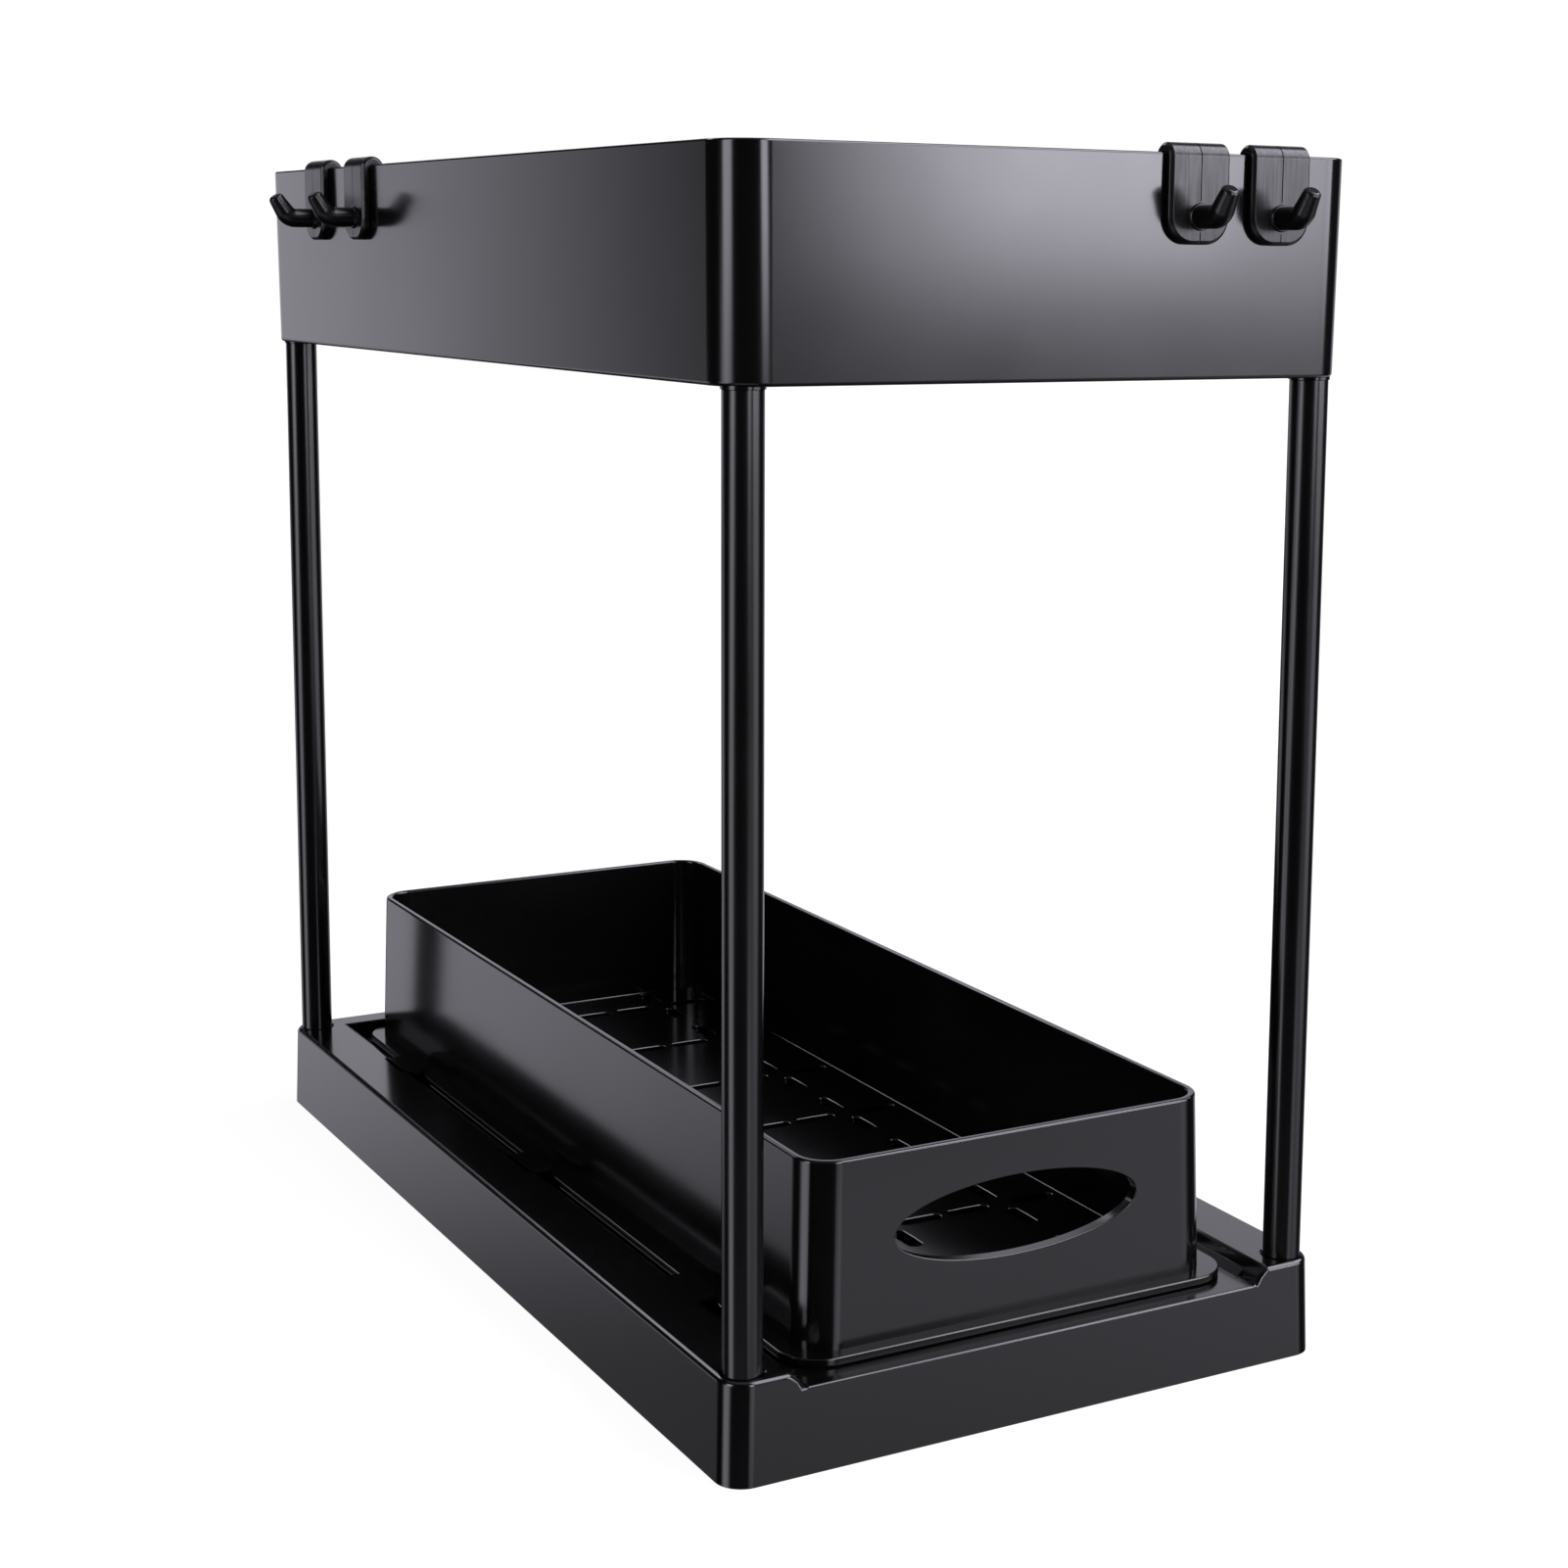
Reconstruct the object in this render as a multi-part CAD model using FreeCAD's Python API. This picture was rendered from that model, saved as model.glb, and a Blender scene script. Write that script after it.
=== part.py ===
"""Two-tier organizer: a base with a sliding drawer, four posts, an upper tray and rim hooks.

Millimetres. X runs across the width, the drawer pulls out towards -Y and Z points up.
The origin is the middle of the plane that the foot pads stand on.
"""
import FreeCAD, Part
import math
import os

# Drawer: outside sizes at the rim, the walls lean outwards towards the foot
drawer_width = 143.6
drawer_length = 382.0
drawer_wall_height = 57.3
drawer_flare = 1.5
drawer_corner = 12.0
drawer_rim_wall = 2.5
drawer_inner_taper = 0.8
drawer_inner_corner = 9.5

# Flange round the drawer's foot, flush with the drawer floor
flange_side = 5.7
flange_front = 5.0
flange_back = 1.0
flange_thickness = 2.5
flange_corner = 14.0

# Oval finger hole in the drawer's front wall
handle_width = 87.0
handle_height = 24.8
handle_drop = 26.5

# Running clearances of the drawer in its channel
slide_side_clearance = 0.6
slide_lift = 0.3
slide_end_clearance = 1.0
tab_clearance = 0.4

# Base moulding: rails beside and behind the channel, walls that lean outwards towards the foot
rail_width = 19.4
back_rail = 11.0
base_height = 32.0
base_flare = 0.9
base_corner = 8.7
base_wall = 2.5
base_edge = 1.5

# Channel flanks and the wider mouth at the front
channel_flank = 6.0
mouth_length = 8.5
mouth_extra = 1.5

# Tabs that hold the flange down
tabs_per_rail = 3
tab_length = 21.0
tab_pitch = 131.0
tab_overlap = 1.8
tab_thickness = 1.8
tab_corner = 2.5

# Ribs under the base
rib_columns = 5
rib_rows = 11
rib_thickness = 1.6
rib_lift = 4.0

# Anti-slip pads under the base
pad_diameter = 16.0
pad_thickness = 2.5
pad_proud = 0.5
pad_inset = 22.0
pad_seat_rim = 1.5

# Posts and the fits at their ends
post_diameter = 12.0
post_wall = 1.3
post_inset = 8.0
post_showing = 282.0
post_fit = 0.15
socket_wall = 2.3
socket_floor = 5.5
spigot_length = 20.0
spigot_wall = 1.6
seat_ring_height = 0.8
seat_ring_lip = 0.4

# Upper tray: its rim stands out past the base, the walls lean inwards towards the floor
tray_overhang = 1.5
tray_height = 66.0
tray_taper = 0.7
tray_corner = 14.0
tray_foot_corner = 12.0
tray_wall = 2.5
tray_floor = 2.5
tray_edge = 1.0

# Drain slots: crosses of four slots, whose length and reach are shares of the pitch between columns
slot_length_share = 0.35
slot_reach_share = 0.29
slot_width = 5.0
slot_side_margin = 3.3
slot_end_margin = 1.5
drawer_cross_columns = 3
tray_cross_columns = 5
cross_rows = 7

# Hooks
hook_width = 21.5
hook_height = 29.4
hook_inner_length = 16.0
hook_strap = 2.6
hook_corner = 8.0
hook_fit = 0.3
hook_crown_share = 0.46
peg_up = 8.0
peg_diameter = 6.9
peg_tip_diameter = 5.2
peg_straight = 7.0
peg_bend_radius = 4.5
peg_bend_angle = 57.0
peg_rise = 7.2
peg_tip_chamfer = 0.8
peg_ring_diameter = 8.7
peg_ring_height = 0.8
front_corner_gap = 20.8
front_hook_gap = 8.1
side_corner_gap = 57.6
side_hook_gap = 24.8

# Every cut runs past the face that it opens by this much
overrun = 2.0

UP = FreeCAD.Vector(0, 0, 1)
ALONG_X = FreeCAD.Vector(1, 0, 0)
ALONG_Y = FreeCAD.Vector(0, 1, 0)
SAME_POINT = Part.Precision.confusion()
SIDES = {"left": -1, "right": 1}
ENDS = {"front": -1, "back": 1}

# Heights of the drawer in the base
channel_depth = tab_thickness + tab_clearance + flange_thickness + slide_lift
channel_floor = base_height - channel_depth
flange_bottom = channel_floor + slide_lift
flange_top = flange_bottom + flange_thickness
drawer_top = flange_top + drawer_wall_height

# Plan sizes of the drawer, its flange and the channel
drawer_foot_half_x = drawer_width / 2 + drawer_flare
drawer_foot_half_y = drawer_length / 2 + drawer_flare
drawer_inner_half_x = drawer_width / 2 - drawer_rim_wall
drawer_inner_half_y = drawer_length / 2 - drawer_rim_wall
drawer_floor_half_x = drawer_inner_half_x - drawer_inner_taper
drawer_floor_half_y = drawer_inner_half_y - drawer_inner_taper
flange_half_x = drawer_foot_half_x + flange_side
flange_front_y = -drawer_foot_half_y - flange_front
flange_back_y = drawer_foot_half_y + flange_back
channel_half = flange_half_x + slide_side_clearance
channel_back_y = flange_back_y + slide_end_clearance
ceiling = channel_floor - base_wall
base_half_x = channel_half + channel_flank + rail_width
base_half_y = channel_back_y + back_rail

# Posts and tray
post_radius = post_diameter / 2
post_bore = post_radius - post_wall
post_x = base_half_x - post_inset
post_y = base_half_y - post_inset
socket_bottom = pad_thickness + socket_floor
tray_half_x = base_half_x + tray_overhang
tray_half_y = base_half_y + tray_overhang
tray_bottom = base_height + post_showing
tray_top = tray_bottom + tray_height
post_top = tray_bottom - seat_ring_height


def rounded_outline(half_x, half_y, corner, z, middle_y=0):
    """Closed wire of a rectangle with round corners, flat at height z."""
    corner = min(corner, half_x, half_y)
    arcs = []
    for turn, (sign_x, sign_y) in enumerate(((1, 1), (-1, 1), (-1, -1), (1, -1))):
        centre = FreeCAD.Vector(sign_x * (half_x - corner), middle_y + sign_y * (half_y - corner), z)
        points = []
        for step in range(3):
            angle = math.radians(90 * turn + 45 * step)
            points.append(centre + FreeCAD.Vector(math.cos(angle), math.sin(angle), 0) * corner)
        arcs.append(points)
    edges = []
    for points, following in zip(arcs, arcs[1:] + arcs[:1]):
        edges.append(Part.Arc(*points).toShape())
        if not points[2].isEqual(following[0], SAME_POINT):
            edges.append(Part.LineSegment(points[2], following[0]).toShape())
    return Part.Wire(edges)


def loft(*outlines):
    """Solid with straight sides through a stack of outlines."""
    return Part.makeLoft(list(outlines), True, True)


def block(low_x, low_y, low_z, high_x, high_y, high_z):
    """Box between two corners."""
    corner = FreeCAD.Vector(low_x, low_y, low_z)
    return Part.makeBox(high_x - low_x, high_y - low_y, high_z - low_z, corner)


def rod(radius, x, y, low_z, high_z):
    """Upright cylinder."""
    return Part.makeCylinder(radius, high_z - low_z, FreeCAD.Vector(x, y, low_z), UP)


def prism(points, direction):
    """Straight-edged outline pushed along a direction."""
    face = Part.Face(Part.makePolygon(points + points[:1]))
    return face.extrude(direction)


def corners(x, y):
    """The four corner places, with the words that name them."""
    for end_name, end in ENDS.items():
        for side_name, side in SIDES.items():
            yield end_name + "_" + side_name, side * x, end * y


def drain_slots(half_x, half_y, columns, low_z, high_z):
    """Cutters for crosses of round-ended slots, spread over a floor."""
    tip_share = slot_reach_share + slot_length_share / 2
    pitch = (half_x - slot_side_margin) / ((columns - 1) / 2 + tip_share)
    reach = pitch * slot_reach_share
    length = pitch * slot_length_share
    last_x = pitch * (columns - 1) / 2
    last_y = half_y - slot_end_margin - pitch * tip_share
    depth = UP * (high_z - low_z)
    along = rounded_outline(length / 2, slot_width / 2, slot_width / 2, low_z)
    across = rounded_outline(slot_width / 2, length / 2, slot_width / 2, low_z)
    cutters = []
    for column in range(columns):
        x = last_x * (2 * column / (columns - 1) - 1)
        for row in range(cross_rows):
            y = last_y * (2 * row / (cross_rows - 1) - 1)
            for sign in (-1, 1):
                for outline, side_x, side_y in ((along, sign, 0), (across, 0, sign)):
                    slot = Part.Face(outline).extrude(depth)
                    slot.translate(FreeCAD.Vector(x + side_x * reach, y + side_y * reach, 0))
                    cutters.append(slot)
    return Part.makeCompound(cutters)


def channel_cut(half_foot, front_y, back_y):
    """Cutter for the drawer channel: flat floor, sloped flanks, open at the front."""
    half_top = half_foot + channel_flank * (channel_depth + overrun) / channel_depth
    high = base_height + overrun
    profile = [
        FreeCAD.Vector(-half_foot, front_y, channel_floor),
        FreeCAD.Vector(half_foot, front_y, channel_floor),
        FreeCAD.Vector(half_top, front_y, high),
        FreeCAD.Vector(-half_top, front_y, high),
    ]
    return prism(profile, ALONG_Y * (back_y - front_y))


def rail_tab(side, middle_y):
    """One tab that reaches in over the drawer's flange, with round inner corners."""
    inner = flange_half_x - tab_overlap
    outer = channel_half + channel_flank + base_wall
    low_z = base_height - tab_thickness
    outline = rounded_outline((outer - inner + tab_corner) / 2, tab_length / 2, tab_corner, low_z)
    tab = Part.Face(outline).extrude(UP * tab_thickness)
    tab.translate(FreeCAD.Vector(side * (inner + outer + tab_corner) / 2, middle_y, 0))
    return tab


def make_base():
    """Hollow base with channel, tabs, sockets, ribs and pad seats."""
    outside = loft(
        rounded_outline(base_half_x + base_flare, base_half_y + base_flare, base_corner + base_flare, pad_proud),
        rounded_outline(base_half_x, base_half_y, base_corner, base_height - base_edge),
        rounded_outline(base_half_x - base_edge, base_half_y - base_edge, base_corner - base_edge, base_height),
    )
    inner_x = base_half_x - base_wall
    inner_y = base_half_y - base_wall
    inner_corner = base_corner - base_wall
    hollow = loft(
        rounded_outline(inner_x, inner_y, inner_corner, pad_proud - overrun),
        rounded_outline(inner_x, inner_y, inner_corner, ceiling),
    )
    body = outside.cut(hollow)

    # Pockets lighten the rails from below
    pocket_x = channel_half + channel_flank + mouth_extra + base_wall
    for side in SIDES.values():
        low_x, high_x = sorted((side * pocket_x, side * inner_x))
        low_y = base_wall - base_half_y + base_corner
        pocket = block(low_x, low_y, ceiling - overrun, high_x, -low_y, base_height - base_wall)
        body = body.cut(pocket)

    # Sockets, pad seats and ribs, kept inside the outer skin
    seat_radius = pad_diameter / 2 + pad_seat_rim
    inside = []
    for name, x, y in corners(post_x, post_y):
        inside.append(rod(post_radius + post_fit + socket_wall, x, y, pad_thickness, base_height - base_wall))
    for name, x, y in corners(base_half_x - pad_inset, base_half_y - pad_inset):
        inside.append(rod(seat_radius, x, y, pad_thickness, ceiling + base_wall / 2))
    skin = base_wall / 2
    for column in range(1, rib_columns + 1):
        x = inner_x * (2 * column / (rib_columns + 1) - 1)
        half = rib_thickness / 2
        inside.append(block(x - half, -inner_y - skin, rib_lift, x + half, inner_y + skin, ceiling + skin))
    for row in range(1, rib_rows + 1):
        y = inner_y * (2 * row / (rib_rows + 1) - 1)
        half = rib_thickness / 2
        inside.append(block(-inner_x - skin, y - half, rib_lift, inner_x + skin, y + half, ceiling + skin))
    body = body.multiFuse([piece.common(outside) for piece in inside])

    # Channel with its wider mouth, then the tabs over it
    front_y = -base_half_y - base_flare - overrun
    body = body.cut(channel_cut(channel_half, front_y, channel_back_y))
    body = body.cut(channel_cut(channel_half + mouth_extra, front_y, mouth_length - base_half_y))
    tabs = []
    for side in SIDES.values():
        for place in range(tabs_per_rail):
            tabs.append(rail_tab(side, tab_pitch * (place - (tabs_per_rail - 1) / 2)))
    body = body.multiFuse(tabs)

    for name, x, y in corners(post_x, post_y):
        body = body.cut(rod(post_radius + post_fit, x, y, socket_bottom, base_height + overrun))
    return body.removeSplitter()


def make_drawer():
    """Drawer with tapered walls, flange, slotted floor and oval finger hole."""
    flange_half_y = (flange_back_y - flange_front_y) / 2
    flange_middle = (flange_back_y + flange_front_y) / 2
    plate = loft(
        rounded_outline(flange_half_x, flange_half_y, flange_corner, flange_bottom, flange_middle),
        rounded_outline(flange_half_x, flange_half_y, flange_corner, flange_top, flange_middle),
    )
    walls = loft(
        rounded_outline(drawer_foot_half_x, drawer_foot_half_y, drawer_corner + drawer_flare, flange_top),
        rounded_outline(drawer_width / 2, drawer_length / 2, drawer_corner, drawer_top),
    )
    inner_foot_corner = drawer_inner_corner - drawer_inner_taper
    inside = loft(
        rounded_outline(drawer_floor_half_x, drawer_floor_half_y, inner_foot_corner, flange_top),
        rounded_outline(drawer_inner_half_x, drawer_inner_half_y, drawer_inner_corner, drawer_top),
        rounded_outline(drawer_inner_half_x, drawer_inner_half_y, drawer_inner_corner, drawer_top + overrun),
    )
    body = plate.fuse(walls.cut(inside))
    low_z = flange_bottom - overrun
    slots = drain_slots(
        drawer_floor_half_x, drawer_floor_half_y, drawer_cross_columns, low_z, flange_top + overrun
    )
    body = body.cut(slots)

    start_y = -drawer_foot_half_y - overrun
    oval = Part.Ellipse(FreeCAD.Vector(0, 0, 0), handle_width / 2, handle_height / 2).toShape()
    oval.rotate(FreeCAD.Vector(0, 0, 0), ALONG_X, 90)
    oval.translate(FreeCAD.Vector(0, start_y, drawer_top - handle_drop))
    depth = overrun - drawer_floor_half_y - start_y
    body = body.cut(Part.Face(Part.Wire(oval)).extrude(ALONG_Y * depth))
    return body.removeSplitter()


def make_upper_tray():
    """Open tray with a slotted floor and a hollow spigot under each corner."""
    foot_x = tray_half_x - tray_taper
    foot_y = tray_half_y - tray_taper
    outside = loft(
        rounded_outline(foot_x - tray_edge, foot_y - tray_edge, tray_foot_corner - tray_edge, tray_bottom),
        rounded_outline(foot_x, foot_y, tray_foot_corner, tray_bottom + tray_edge),
        rounded_outline(tray_half_x, tray_half_y, tray_corner, tray_top),
    )
    floor_z = tray_bottom + tray_floor
    inner_x = tray_half_x - tray_wall
    inner_y = tray_half_y - tray_wall
    inner_corner = tray_corner - tray_wall
    floor_x = foot_x - tray_wall
    floor_y = foot_y - tray_wall
    inside = loft(
        rounded_outline(floor_x, floor_y, tray_foot_corner - tray_wall, floor_z),
        rounded_outline(inner_x, inner_y, inner_corner, tray_top),
        rounded_outline(inner_x, inner_y, inner_corner, tray_top + overrun),
    )
    body = outside.cut(inside)
    spigot_radius = post_bore - post_fit
    middle_z = tray_bottom + tray_floor / 2
    for name, x, y in corners(post_x, post_y):
        body = body.fuse(rod(post_radius + seat_ring_lip, x, y, post_top, middle_z))
        body = body.fuse(rod(spigot_radius, x, y, post_top - spigot_length, middle_z))
    for name, x, y in corners(post_x, post_y):
        blind_end = post_top - spigot_length + spigot_wall
        body = body.cut(rod(spigot_radius - spigot_wall, x, y, blind_end, floor_z + overrun))
    slots = drain_slots(floor_x, floor_y, tray_cross_columns, tray_bottom - overrun, floor_z + overrun)
    body = body.cut(slots)
    return body.removeSplitter()


def make_post(x, y):
    """Tube that stands in a base socket and takes a tray spigot at the top."""
    return rod(post_radius, x, y, socket_bottom, post_top).cut(
        rod(post_bore, x, y, socket_bottom - overrun, post_top + overrun))


def make_pad(x, y):
    """Round anti-slip pad under its seat."""
    return rod(pad_diameter / 2, x, y, 0, pad_thickness)


def hook_strap_solid():
    """Strap bent over the rim: outside face towards -Y, rim top at height zero."""
    face_y = -hook_fit - hook_strap
    wall_lean = tray_taper * hook_inner_length / tray_height
    slot_back_y = tray_wall + wall_lean + hook_fit
    inner_y = slot_back_y + hook_strap
    top = hook_fit + hook_strap
    crown = hook_crown_share * (inner_y - face_y)
    bend = crown * math.sqrt(0.5)
    half = hook_width / 2

    def at(y, z):
        return FreeCAD.Vector(-half, y, z)

    path = [
        (at(-hook_fit, top - hook_height), at(face_y, top - hook_height)),
        (at(face_y, top - hook_height), at(face_y, top - crown)),
        (at(face_y, top - crown), at(face_y + crown - bend, top - crown + bend), at(face_y + crown, top)),
        (at(face_y + crown, top), at(inner_y - crown, top)),
        (at(inner_y - crown, top), at(inner_y - crown + bend, top - crown + bend), at(inner_y, top - crown)),
        (at(inner_y, top - crown), at(inner_y, top - hook_inner_length)),
        (at(inner_y, top - hook_inner_length), at(slot_back_y, top - hook_inner_length)),
        (at(slot_back_y, top - hook_inner_length), at(slot_back_y, hook_fit)),
        (at(slot_back_y, hook_fit), at(-hook_fit, hook_fit)),
        (at(-hook_fit, hook_fit), at(-hook_fit, top - hook_height)),
    ]
    edges = []
    for points in path:
        curve = Part.Arc(*points) if len(points) == 3 else Part.LineSegment(*points)
        edges.append(curve.toShape())
    strap = Part.Face(Part.Wire(edges)).extrude(ALONG_X * hook_width)

    # The plate's lower end is round: the strap is kept inside a rounded outline seen from the front
    outline = rounded_outline(half, (hook_height + 2 * hook_corner) / 2, hook_corner, 0)
    frame = Part.Face(outline).extrude(UP * (inner_y - face_y + 2 * overrun))
    frame.rotate(FreeCAD.Vector(0, 0, 0), ALONG_X, 90)
    frame.translate(FreeCAD.Vector(0, inner_y + overrun, top - hook_height / 2 + hook_corner))
    return strap.common(frame)


def make_hook():
    """Hook with its bent, tapering peg, at the middle of the front rim's top edge."""
    face_y = -hook_fit - hook_strap
    peg_z = hook_fit + hook_strap - hook_height + peg_up
    start = FreeCAD.Vector(0, face_y + hook_strap / 2, peg_z)
    elbow = FreeCAD.Vector(0, face_y - peg_straight, peg_z)
    outwards = -ALONG_Y
    radius = peg_diameter / 2
    tip_radius = peg_tip_diameter / 2

    ring = Part.makeCylinder(peg_ring_diameter / 2, hook_strap / 2 + peg_ring_height, start, outwards)
    straight = Part.makeCylinder(radius, peg_straight + hook_strap / 2, start, outwards)
    section = Part.Face(Part.Wire(Part.Circle(elbow, outwards, radius).toShape()))
    pivot = elbow + UP * peg_bend_radius
    bend = section.revolve(pivot, -ALONG_X, peg_bend_angle)
    angle = math.radians(peg_bend_angle)
    rising = outwards * math.cos(angle) + UP * math.sin(angle)
    foot = pivot + outwards * (peg_bend_radius * math.sin(angle)) - UP * (peg_bend_radius * math.cos(angle))
    rise = Part.makeCone(radius, tip_radius, peg_rise, foot, rising)
    top = foot + rising * peg_rise
    tip = Part.makeCone(tip_radius, tip_radius - peg_tip_chamfer, peg_tip_chamfer, top, rising)
    hook = hook_strap_solid().multiFuse([ring, straight, bend, rise, tip])
    return hook.removeSplitter()


def hook_places():
    """Node name, turn about Z in degrees, and place on the rim of each hook."""
    outer_x = tray_half_x - front_corner_gap - hook_width / 2
    inner_x = outer_x - hook_width - front_hook_gap
    back_y = tray_half_y - side_corner_gap - hook_width / 2
    front_y = back_y - hook_width - side_hook_gap
    yield "hook_front_inner", 0, FreeCAD.Vector(inner_x, -tray_half_y, tray_top)
    yield "hook_front_outer", 0, FreeCAD.Vector(outer_x, -tray_half_y, tray_top)
    yield "hook_side_front", -90, FreeCAD.Vector(-tray_half_x, front_y, tray_top)
    yield "hook_side_back", -90, FreeCAD.Vector(-tray_half_x, back_y, tray_top)


def write(name, shape):
    """One file per piece."""
    shape.exportStep("parts/" + name + ".step")


os.makedirs("parts", exist_ok=True)
write("base", make_base())
write("drawer", make_drawer())
write("upper_tray", make_upper_tray())
for corner_name, corner_x, corner_y in corners(post_x, post_y):
    write("post_" + corner_name, make_post(corner_x, corner_y))
for corner_name, corner_x, corner_y in corners(base_half_x - pad_inset, base_half_y - pad_inset):
    write("foot_pad_" + corner_name, make_pad(corner_x, corner_y))
for hook_name, hook_turn, hook_place in hook_places():
    hook_shape = make_hook()
    hook_shape.rotate(FreeCAD.Vector(0, 0, 0), UP, hook_turn)
    hook_shape.translate(hook_place)
    write(hook_name, hook_shape)
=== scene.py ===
"""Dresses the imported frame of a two-tier under sink organizer.

Models its shells, tubes, hooks and pads, gives them their finishes, and sets the studio and the camera.
"""

import math
from contextlib import contextmanager

import bmesh
import bpy
from bpy.props import FloatProperty, FloatVectorProperty, IntProperty, PointerProperty
from mathutils import Matrix, Vector


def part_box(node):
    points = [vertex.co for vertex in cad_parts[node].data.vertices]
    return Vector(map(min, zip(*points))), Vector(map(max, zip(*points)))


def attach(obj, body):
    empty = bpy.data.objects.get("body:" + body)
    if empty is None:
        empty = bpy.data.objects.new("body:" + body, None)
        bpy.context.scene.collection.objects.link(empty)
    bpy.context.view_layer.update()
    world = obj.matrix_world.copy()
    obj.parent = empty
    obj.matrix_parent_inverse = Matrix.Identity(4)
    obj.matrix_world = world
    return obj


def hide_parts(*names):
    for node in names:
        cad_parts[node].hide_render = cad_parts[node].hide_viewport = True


bl_info = {
    "name": "Under sink organizer",
    "version": (1, 0, 0),
    "blender": (4, 5, 0),
    "location": "View3D > Sidebar > Organizer",
    "description": "Models and finishes a two-tier organizer around its packed frame",
    "category": "Object",
}

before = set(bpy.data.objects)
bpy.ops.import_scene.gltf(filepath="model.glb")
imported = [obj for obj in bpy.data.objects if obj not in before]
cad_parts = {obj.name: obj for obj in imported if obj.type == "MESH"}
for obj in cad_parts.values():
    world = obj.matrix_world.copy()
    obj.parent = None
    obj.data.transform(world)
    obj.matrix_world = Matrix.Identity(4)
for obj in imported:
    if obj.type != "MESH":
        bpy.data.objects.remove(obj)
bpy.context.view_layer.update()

MM = 0.001
# Lengths that agree to a hair count as equal, and points nearer than the weld become one
HAIR = 0.02 * MM
WELD = 0.002 * MM
# How far cutters and welded pieces reach past the faces that they meet
PAST = MM
# Angles between two faces: bent edges, sharp edges, and the square edges that no chamfer leaves behind
BENT, SHARP, SQUARE = (math.radians(angle) for angle in (20, 35, 60))
# Shares of a direction that runs up: least for an upright edge and a level face, most for an upright face
UPRIGHT, LEVEL, STEEP = 0.9, 0.99, 0.2
CORNERS = ("front_left", "front_right", "back_left", "back_right")
HOOKS = ("hook_front_inner", "hook_front_outer", "hook_side_front", "hook_side_back")
# Length and reach of a drain slot as shares of the pitch, and the crosses across and along each floor
SLOT_LENGTH = 0.35
SLOT_REACH = 0.29
DRAWER_CROSSES = (3, 7)
TRAY_CROSSES = (5, 7)
# Ribs under the base, and the length of their tools over the base's
RIB_COLUMNS = 5
RIB_ROWS = 11
RIB_RUN = 1.1
# How far off the finger hole's oval an edge may lie, as a share
OVAL_SLACK = 0.01
# Facets round each kind of cylinder
SIDES = {
    "slot": 18, "bore": 32, "boss": 40, "peg": 40, "pad": 48, "ring": 48, "spigot": 48, "seat": 64,
    "socket": 64, "post": 72, "finger_hole": 96}
# Facets across the rounds and bends whose number isn't a setting
STEPS = {
    "chamfer": 1, "arris": 2, "ease": 3, "slot": 3, "toe": 6, "hollow": 6, "tab": 8, "peg": 12, "plate": 12,
    "arch": 20}


def srgb(code):
    """Linear colour of an sRGB hex value."""
    shares = [int(code[place:place + 2], 16) / 255 for place in (1, 3, 5)]
    return [share / 12.92 if share <= 0.04045 else ((share + 0.055) / 1.055) ** 2.4 for share in shares]


def length(name, description, millimetres):
    """A size that a user may change, kept in metres."""
    return FloatProperty(
        name=name, description=description, default=millimetres * MM, min=0, unit="LENGTH", precision=5)


def colour(name, description, code):
    """A colour that a user may change."""
    return FloatVectorProperty(
        name=name, description=description, default=srgb(code), min=0, max=1, size=3, subtype="COLOR")


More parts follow.
